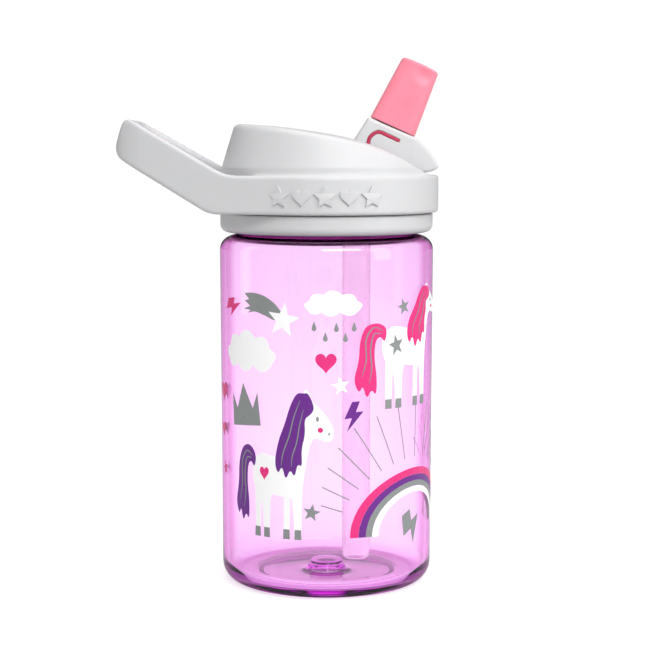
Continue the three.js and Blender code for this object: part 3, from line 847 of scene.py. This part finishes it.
# Colours are linear red, green and blue.
WALL_EDGE = (0.66, 0.26, 0.54)
# Painted shade: a dark purple band on the neck just below the lid, standing for the lid's shadow on the
# heavy wall.
NECK_SHADE = ((0.17, 0.025, 0.13), (SHOULDER_Z + 2.8) * MM, (SHOULDER_Z + 4.0) * MM)
lid_white = moulded_plastic("lid_white_satin", (0.61, 0.61, 0.62), (0.59, 0.59, 0.60), 0.42)
bottle_tint = clear_plastic("bottle_tinted_clear", (0.94, 0.10, 0.95), 125, 0.01, WALL_EDGE, NECK_SHADE)
straw_milky = clear_plastic("straw_milky_clear", (0.9, 0.30, 0.70), 130, 0.14, wave=0.01)
valve_pink = silicone("valve_pink_silicone", (1.0, 0.27, 0.36), (0.97, 0.235, 0.325), 0.42)
seal_crimson = silicone("seal_crimson_silicone", (0.50, 0.035, 0.09), (0.42, 0.03, 0.075), 0.4, 0.1)
seal_clear = silicone("seal_milky_silicone", (0.80, 0.79, 0.82), (0.74, 0.73, 0.77), 0.45)
INKS = {
    "pink": print_ink("ink_pink", (0.80, 0.024, 0.21)),
    "purple": print_ink("ink_purple", (0.145, 0.016, 0.26)),
    "grey": print_ink("ink_grey", (0.255, 0.275, 0.27)),
    # The white ink has a painted glow of 0.08.
    "white": print_ink("ink_white", (0.94, 0.94, 0.94), 0.08),
}

# ---- The pieces that stand for CAD nodes ----

PIECES = (
    (make_bottle, bottle_tint, "bottle_body"),
    (make_gasket, seal_clear, "neck_gasket"),
    (make_shell, lid_white, "lid_shell"),
    (make_collar, lid_white, "threaded_collar"),
    (make_cradle, lid_white, "spout_cradle"),
    (make_pivot_seal, seal_clear, "pivot_seal"),
    (make_vent_valve, seal_clear, "vent_valve"),
    (make_straw, straw_milky, "straw"),
    (make_housing, lid_white, "spout_housing"),
    (make_spout_seal, seal_crimson, "spout_seal"),
    (make_bite_valve, valve_pink, "bite_valve"),
)
for make, material, node in PIECES:
    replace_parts(make(material), node)


# ---- The print: flat outlines in (distance round the wall, height), then wrapped ----

INK_THICKNESS = 0.05
INK_GAP = 0.02  # between the wall and the first layer
LAYER = 0.055  # from one layer to the next
CUT = 1.5  # widest facet round the wall


def wall_radius(z):
    return FOOT_R + (BODY_R - FOOT_R) * np.clip((z - BASE_FILLET) / (SHOULDER_Z - BASE_FILLET), 0, 1)


def placed(outline, at, scale=(1, 1), turn=0.0):
    """The outline turned by degrees, stretched, and moved to its place."""
    c, s = math.cos(math.radians(turn)), math.sin(math.radians(turn))
    return [
        (at[0] + scale[0] * (x * c - y * s), at[1] + scale[1] * (x * s + y * c))
        for x, y in outline
    ]


def softened(outline, rounds=3, closed=True):
    """Corners cut again and again, which rounds an outline."""
    points = [np.array(p, float) for p in outline]
    for _ in range(rounds):
        pairs = zip(points, points[1:] + points[:1]) if closed else itertools.pairwise(points)
        cut = [q for a, b in pairs for q in (0.75 * a + 0.25 * b, 0.25 * a + 0.75 * b)]
        points = cut if closed else [points[0], *cut, points[-1]]
    return [tuple(p) for p in points]


def star(size, inner=0.42, points=5, turn=0.0):
    corners = []
    for i in range(2 * points):
        radius = size * (inner if i % 2 else 1)
        angle = math.radians(90 + turn + 180 * i / points)
        corners.append((radius * math.cos(angle), radius * math.sin(angle)))
    return corners


def heart(size):
    angles = np.linspace(0, 2 * math.pi, 48, endpoint=False)
    across = np.sin(angles) ** 3
    up = (13 * np.cos(angles) - 5 * np.cos(2 * angles) - 2 * np.cos(3 * angles) - np.cos(4 * angles)) / 16
    return [(size * x, size * y) for x, y in zip(across, up)]


def bumps(anchors, lift):
    """A closed outline of outward arcs, one between each two anchors."""
    outline = []
    for a, b in zip(anchors, anchors[1:] + anchors[:1]):
        a, b = np.array(a, float), np.array(b, float)
        side = np.array([b[1] - a[1], a[0] - b[0]])
        for t in np.linspace(0, 1, 9, endpoint=False):
            outline.append(tuple(a + (b - a) * t + side * lift * 4 * t * (1 - t)))
    return outline


def stroke(line, width):
    """A strip along an open line, tapering to nothing at both ends."""
    points = np.array(line, float)
    steps = np.gradient(points, axis=0)
    across = np.stack([-steps[:, 1], steps[:, 0]], 1)
    across /= np.linalg.norm(across, axis=1)[:, None]
    swell = np.sqrt(np.clip(np.sin(np.linspace(0.04, math.pi - 0.04, len(points))), 0.05, 1))
    offset = across * (width / 2) * swell[:, None]
    return [tuple(p) for p in points + offset] + [tuple(p) for p in (points - offset)[::-1]]


def arch(radius, width, squash):
    outer = [(x, y * squash) for x, y in arc(0, 0, radius, 0, 180, 48)]
    inner = [(x, y * squash) for x, y in arc(0, 0, radius - width, 180, 0, 48)]
    return outer + inner


BOLT = [(-1.1, 3.9), (1.5, 4.4), (0.6, 1.2), (3.2, 1.7), (-1.6, -4.8), (-0.5, -0.7), (-3.0, -1.3)]
DROP = softened(
    [(0, 2.4), (0.55, 0.9), (1.15, -0.4), (0.7, -1.5), (-0.7, -1.5), (-1.15, -0.4), (-0.55, 0.9)]
)
CROWN = [(-7, -7), (-6.6, 4.0), (-4.0, -1.2), (0, 7.2), (4.0, -1.2), (6.6, 4.0), (7, -7)]
COMET_BACK = natural_curve([(7.4, -1.2), (5.0, 1.4), (1.0, 3.7), (-3.6, 4.6), (-8.0, 4.3)], 8)
COMET_FRONT = natural_curve([(-6.6, -2.2), (-3.0, -1.6), (1.0, -2.6), (4.8, -4.0), (7.2, -3.4)], 8)
COMET = [*COMET_BACK, (-5.6, 2.4), (-7.9, 1.9), (-5.2, 0.2), (-8.4, -0.9), (-5.0, -1.2), *COMET_FRONT]
CLOUD = bumps(
    [(-4.2, -4.2), (2.4, -4.2), (9.6, -3.2), (8.6, 1.4), (3.2, 4.4), (-3.6, 4.6), (-8.6, 1.6), (-9.5, -3)],
    0.33,
)


def filled(outline, level):
    """The outline as flat faces at that height over the surface."""
    flat = bmesh.new()
    corners = [flat.verts.new((x, y, level)) for x, y in outline]
    for triangle in tessellate_polygon([[Vector((x, y, 0)) for x, y in outline]]):
        flat.faces.new([corners[i] for i in triangle])
    return flat


def thicken_into(sheet, flat, thickness, ink=0):
    """Raises flat faces to a closed slab and adds it to the sheet."""
    top = bmesh.ops.extrude_face_region(flat, geom=flat.faces[:], use_keep_orig=True)
    raised = [v for v in top["geom"] if isinstance(v, bmesh.types.BMVert)]
    bmesh.ops.translate(flat, verts=raised, vec=(0, 0, thickness))
    bmesh.ops.recalc_face_normals(flat, faces=flat.faces)
    for face in flat.faces:
        face.material_index = ink
    part = bpy.data.meshes.new("shape")
    flat.to_mesh(part)
    flat.free()
    sheet.from_mesh(part)
    bpy.data.meshes.remove(part)


def wrapped(name, sheet, turn_radius, surface_radius):
    """The sheet bent round the bottle's axis, as a mesh. turn_radius sets how far round it goes."""
    for vertex in sheet.verts:
        angle = vertex.co.x / turn_radius
        reach = surface_radius(vertex.co.y) + vertex.co.z
        vertex.co = Vector((reach * math.sin(angle), -reach * math.cos(angle), vertex.co.y)) * MM
    mesh = bpy.data.meshes.new(name)
    sheet.to_mesh(mesh)
    sheet.free()
    return mesh


def solid_print(name, shapes):
    """One wrapped piece of print from (outline, ink, layer) shapes, each a thin closed slab."""
    inks = sorted({ink for _, ink, _ in shapes})
    sheet = bmesh.new()
    for outline, ink, layer in shapes:
        flat = filled(outline, LAYER * layer + INK_GAP)
        bmesh.ops.recalc_face_normals(flat, faces=flat.faces)
        if sum(f.normal.z * f.calc_area() for f in flat.faces) < 0:
            bmesh.ops.reverse_faces(flat, faces=flat.faces)
        edge = min(x for x, _ in outline)
        while edge < max(x for x, _ in outline):
            edge = (math.floor(edge / CUT) + 1) * CUT
            everything = flat.verts[:] + flat.edges[:] + flat.faces[:]
            bmesh.ops.bisect_plane(
                flat, geom=everything, dist=1e-5, plane_co=(edge, 0, 0), plane_no=(1, 0, 0)
            )
        thicken_into(sheet, flat, INK_THICKNESS, inks.index(ink))
    mesh = wrapped(name, sheet, BODY_R, wall_radius)
    new_object(name, mesh, "bottle", "print_ink", *[INKS[ink] for ink in inks])
    mesh.polygons.foreach_set("use_smooth", [False] * len(mesh.polygons))


# A plain toy pony, facing right, hooves on the line y = 0.
PONY_BODY = [
    (-9.6, 20.6), (-6.0, 21.9), (-1.0, 20.6), (3.0, 21.6), (5.6, 26.0), (7.2, 31.0), (9.0, 34.6),
    (9.7, 38.6), (11.2, 38.4), (12.2, 35.4), (15.4, 33.6), (18.4, 30.6), (20.0, 28.0), (19.4, 25.4),
    (16.6, 25.2), (13.8, 26.4), (11.8, 25.2), (10.6, 20.5), (9.2, 15.0), (8.7, 9.0), (8.6, 1.8),
    (8.5, 0.6), (6.1, 0.6), (6.0, 1.8), (5.6, 8.0), (4.8, 11.4), (1.0, 10.6), (-2.6, 11.6),
    (-3.2, 8.0), (-3.4, 1.8), (-3.4, 0.6), (-5.8, 0.6), (-5.9, 1.8), (-6.2, 7.0), (-7.0, 10.0),
    (-8.6, 11.0), (-10.6, 14.0), (-11.0, 18.0),
]
FAR_LEGS = (
    [(2.2, 12), (4.6, 12), (4.2, 1.6), (2.0, 1.6)],
    [(-9.6, 13), (-6.9, 12), (-7.4, 1.6), (-9.6, 1.6)],
)
PONY_BACK = 21.5  # height of the back, above which the neck begins
PONY_MANE = [
    (9.6, 37.4), (7.0, 37.6), (4.6, 34.2), (2.6, 29.4), (0.2, 25.2), (-1.4, 19.6), (0.0, 16.4),
    (1.6, 19.0), (2.9, 14.9), (4.6, 18.2), (6.2, 15.8), (7.2, 19.6), (8.9, 18.6), (8.6, 23.4),
    (10.0, 27.0), (9.6, 31.0), (11.8, 32.0), (13.2, 33.6), (12.0, 36.2), (10.8, 37.6),
]
PONY_TAIL = [
    (-9.0, 20.9), (-12.0, 23.6), (-15.8, 22.8), (-18.2, 18.6), (-18.4, 12.8), (-20.2, 8.0),
    (-18.4, 4.4), (-17.2, 6.8), (-16.0, 2.8), (-14.4, 5.6), (-12.8, 3.6), (-12.6, 8.6),
    (-13.6, 13.6), (-13.2, 18.0), (-11.6, 19.4), (-9.9, 17.4),
]
MANE_LINES = (
    [(8.2, 35.6), (6.0, 31.4), (4.4, 26.8), (2.0, 22.0), (1.2, 18.6)],
    [(9.4, 33.4), (8.0, 29.2), (7.0, 25.0), (5.4, 21.4), (5.0, 18.6)],
)
TAIL_LINES = (
    [(-10.6, 20.6), (-13.6, 21.6), (-16.2, 18.6), (-16.2, 13.0), (-17.6, 8.6)],
    [(-11.2, 20.0), (-13.8, 19.6), (-14.8, 15.4), (-14.4, 11.0), (-15.2, 7.0)],
)


def oval(at, across, up):
    return [(at[0] + across * math.cos(a), at[1] + up * math.sin(a)) for a in np.radians(range(0, 360, 20))]


def pony(at, scale, neck, hair, emblem, emblem_ink):
    """A pony print. A neck under 1 carries the head lower above the line of the back."""

    def put(outline):
        lowered = [(x, min(y, PONY_BACK) + max(y - PONY_BACK, 0) * neck) for x, y in outline]
        return placed(lowered, at, scale)

    shapes = [(put(leg), "white", 0) for leg in FAR_LEGS]
    shapes.append((put(softened(PONY_BODY)), "white", 1))
    for x in (-8.5, -4.6, 3.1, 7.3):
        hoof = [(x - 1.25, 0), (x + 1.25, 0), (x + 1.15, 2.5), (x - 1.15, 2.5)]
        shapes.append((put(hoof), "grey", 2))
    shapes.append((put(softened(PONY_MANE)), hair, 2))
    shapes.append((put(softened(PONY_TAIL)), hair, 2))
    for line in MANE_LINES + TAIL_LINES:
        shapes.append((put(stroke(natural_curve(line, 8), 0.42)), "grey", 3))
    shapes.append((put(oval((14.2, 31.0), 0.5, 0.62)), "grey", 2))
    shapes.append((put(oval((18.2, 27.2), 0.35, 0.28)), "grey", 2))
    shapes.append((put(oval((15.2, 28.2), 0.9, 0.65)), "pink", 2))
    shapes.append((put(placed(emblem, (-5.6, 16.6))), emblem_ink, 2))
    return shapes


def rainbow(at):
    """Four arches, and rays fanned out above them."""
    shapes = []
    radius, squash = 26.4, 0.80
    ray_start, ray_half_width = 31.0, 0.19
    for ink, width in (("pink", 3.0), ("purple", 2.6), ("grey", 2.3), ("white", 2.4)):
        shapes.append((placed(arch(radius, width - 0.05, squash), at), ink, 0))
        radius -= width
    for i, degrees in enumerate(range(159, 38, -10)):
        angle = math.radians(degrees)
        length = 7.5 + 10.5 * min(1, i / 4)
        start = ray_start * np.array([math.cos(angle), squash * math.sin(angle)])
        lean = angle - 0.10 * math.sin(2 * angle)
        way = np.array([math.cos(lean), math.sin(lean)])
        side = np.array([-way[1], way[0]]) * ray_half_width
        end = start + way * length
        corners = [start + side, end + side, end - side, start - side]
        shapes.append((placed([tuple(c) for c in corners], at), "grey", 0))
    return shapes


def rain_cloud(at):
    small = placed(CLOUD, at, (0.90, 0.64))
    shapes = [(small, "white", 0)]
    for x, y in ((-6.3, -7.6), (-2.6, -11.0), (1.0, -7.9), (4.0, -11.2), (6.9, -7.8)):
        shapes.append((placed(DROP, (at[0] + x, at[1] + y), (0.75, 0.85)), "grey", 0))
    return shapes


PRINTS = {
    "print_pony_left": pony((-16.6, 20.6), (0.96, 1.30), 1.0, "purple", heart(1.9), "pink"),
    "print_pony_right": pony((31.0, 63.4), (1.10, 1.26), 0.62, "pink", star(3.0, 0.42, turn=12), "grey"),
    "print_rainbow": rainbow((34.2, 21.2)),
    "print_rain_cloud": rain_cloud((2.2, 98.6)),
    "print_cloud": [(placed(CLOUD, (-29.4, 81.9), (1.14, 1.06)), "white", 0)],
    "print_comet": [
        (placed(COMET, (-22.6, 96.9)), "grey", 0),
        (placed(star(5.9, 0.42, turn=-8), (-14.6, 93.0)), "white", 1),
    ],
    "print_heart": [(placed(heart(3.7), (-0.2, 79.6), (0.95, 1.0)), "pink", 0)],
    "print_crown": [(placed(CROWN, (-31.0, 64.0), turn=5), "grey", 0)],
    "print_small_stars": [
        (placed(star(3.2, 0.42, turn=10), (4.6, 71.8)), "white", 0),
        (placed(star(2.9, 0.42, turn=14), (28.2, 96.8)), "grey", 0),
        (placed(star(3.1, 0.42, turn=-10), (-5.0, 29.8)), "grey", 0),
        (placed(star(2.6, 0.42, turn=20), (-45.5, 40.5)), "pink", 0),
    ],
    "print_bolts": [
        (placed(BOLT, (-37.6, 96.4), (1.75, 0.66), 10), "pink", 0),
        (placed(BOLT, (9.0, 61.8), (1.0, 1.15), -8), "purple", 0),
        (placed(placed(BOLT, (0, 0), (1.1, 1.25), 25), (33.0, 22.8), (1.7, 1)), "grey", 0),
    ],
    "print_side_hearts": [
        (placed(heart(3.4), (-46.4, 67.0)), "pink", 0),
        (placed(heart(2.6), (-47.0, 54.0), turn=15), "pink", 0),
    ],
}
for name, shapes in PRINTS.items():
    solid_print(name, shapes)


# ---- Raised motif on the band ----


def make_band_motif(material):
    """Five small raised shapes on the band's front, hearts between stars."""
    emblem = bmesh.new()
    height, sunk, pitch, first = 0.7, 0.4, 7.7, -15.9
    middle = BAND_BOTTOM + 6.1
    for i in range(5):
        if i % 2:
            outline = placed(heart(2.9), (first + pitch * i, middle))
        else:
            outline = placed(star(3.7, 0.5), (first + pitch * i, middle - 0.2))
        thicken_into(emblem, filled(outline, -sunk), height + sunk)
    mesh = wrapped("band_motif", emblem, BAND_R, lambda z: BAND_R)
    thing = new_object("band_motif", mesh, "lid", "lid_plastic", material)
    edge = thing.modifiers.new("edge", "BEVEL")
    edge.width = 0.22 * MM
    edge.segments = 3
    edge.limit_method = "ANGLE"
    edge.angle_limit = math.radians(40)


make_band_motif(lid_white)


# ---- Floor, light and camera ----


def make_floor():
    """A pale floor that looks white, and throws back less light than it shows."""
    bpy.ops.mesh.primitive_plane_add(size=12)
    floor = bpy.context.object
    floor.name = "studio_floor"
    material, nodes, links, shader = new_material("floor_pale")
    set_shader(
        shader, Base_Color=(0.55, 0.55, 0.55, 1), Roughness=0.9, Specular_IOR_Level=0.0,
        Emission_Color=(1, 1, 1, 1),
    )
    glow = ranged(nodes, links, seen_directly(nodes, links), 0.0, 0.62)
    links.new(glow, shader.inputs["Emission Strength"])
    floor.data.materials.append(material)


def seen_directly(nodes, links):
    """1 for what the eye meets, also through clear plastic, and 0 for what only gives light."""
    path = add(nodes, "ShaderNodeLightPath")
    either_way = add(nodes, "ShaderNodeMath", operation="MAXIMUM")
    links.new(path.outputs["Is Camera Ray"], either_way.inputs[0])
    links.new(path.outputs["Is Transmission Ray"], either_way.inputs[1])
    return either_way.outputs["Value"]


def make_world():
    """White to the eye and through clear plastic. As light it is dim low down and bright overhead."""
    world = bpy.data.worlds.new("soft_studio")
    bpy.context.scene.world = world
    world.use_nodes = True
    nodes, links = world.node_tree.nodes, world.node_tree.links
    seen = nodes["Background"]
    seen.inputs["Color"].default_value = (1, 1, 1, 1)
    seen.inputs["Strength"].default_value = 1.03

    way = add(nodes, "ShaderNodeTexCoord").outputs["Generated"]
    across = add(nodes, "ShaderNodeVectorMath", operation="DOT_PRODUCT")
    links.new(way, across.inputs[0])
    across.inputs[1].default_value = (0.10, -0.10, 0.0)
    split = add(nodes, "ShaderNodeSeparateXYZ")
    links.new(way, split.inputs["Vector"])
    above = ranged(nodes, links, split.outputs["Z"], 0.33, 0.95)
    total = add(nodes, "ShaderNodeMath", operation="ADD")
    links.new(across.outputs["Value"], total.inputs[0])
    links.new(above, total.inputs[1])
    path = add(nodes, "ShaderNodeLightPath")
    mirrored = add(nodes, "ShaderNodeMath", operation="MULTIPLY")  # dark cards for the reflections
    links.new(total.outputs["Value"], mirrored.inputs[0])
    links.new(ranged(nodes, links, path.outputs["Is Glossy Ray"], 1.0, 0.3), mirrored.inputs[1])
    lighting = add(nodes, "ShaderNodeBackground", Color=(1, 1, 1, 1))
    links.new(mirrored.outputs["Value"], lighting.inputs["Strength"])

    mix = add(nodes, "ShaderNodeMixShader")
    links.new(seen_directly(nodes, links), mix.inputs["Fac"])
    links.new(lighting.outputs["Background"], mix.inputs[1])
    links.new(seen.outputs["Background"], mix.inputs[2])
    links.new(mix.outputs["Shader"], nodes["World Output"].inputs["Surface"])


def soft_box(name, place, target, size, power):
    lamp = bpy.data.lights.new(name, "AREA")
    lamp.shape = "RECTANGLE"
    lamp.size, lamp.size_y = size
    lamp.energy = power
    thing = bpy.data.objects.new(name, lamp)
    thing.location = place
    thing.rotation_mode = "QUATERNION"
    thing.rotation_quaternion = (Vector(target) - Vector(place)).to_track_quat("-Z", "Y")
    bpy.context.scene.collection.objects.link(thing)


def make_camera():
    """A long lens in front of the bottle, looking a little down."""
    data = bpy.data.cameras.new("camera")
    data.sensor_width = 36
    data.lens = 96.9
    camera = bpy.data.objects.new("camera", data)
    camera.location = (-0.0005, -0.600, 0.1485)
    camera.rotation_euler = (math.radians(90 - 5.75), 0, 0)
    bpy.context.scene.collection.objects.link(camera)
    bpy.context.scene.camera = camera


make_floor()
make_world()
middle = (0, 0, 0.12)
soft_box("front_top", (0.25, -0.75, 0.75), middle, (0.7, 0.35), 5.8)
soft_box("key_right", (0.85, -0.45, 0.45), middle, (0.4, 0.8), 2.6)
soft_box("overhead", (0.05, 0.1, 1.0), middle, (0.7, 0.7), 2.0)
soft_box("left_edge", (-0.9, 0.1, 0.30), middle, (0.25, 0.8), 1.0)
make_camera()
bpy.context.scene.view_settings.view_transform = "Standard"
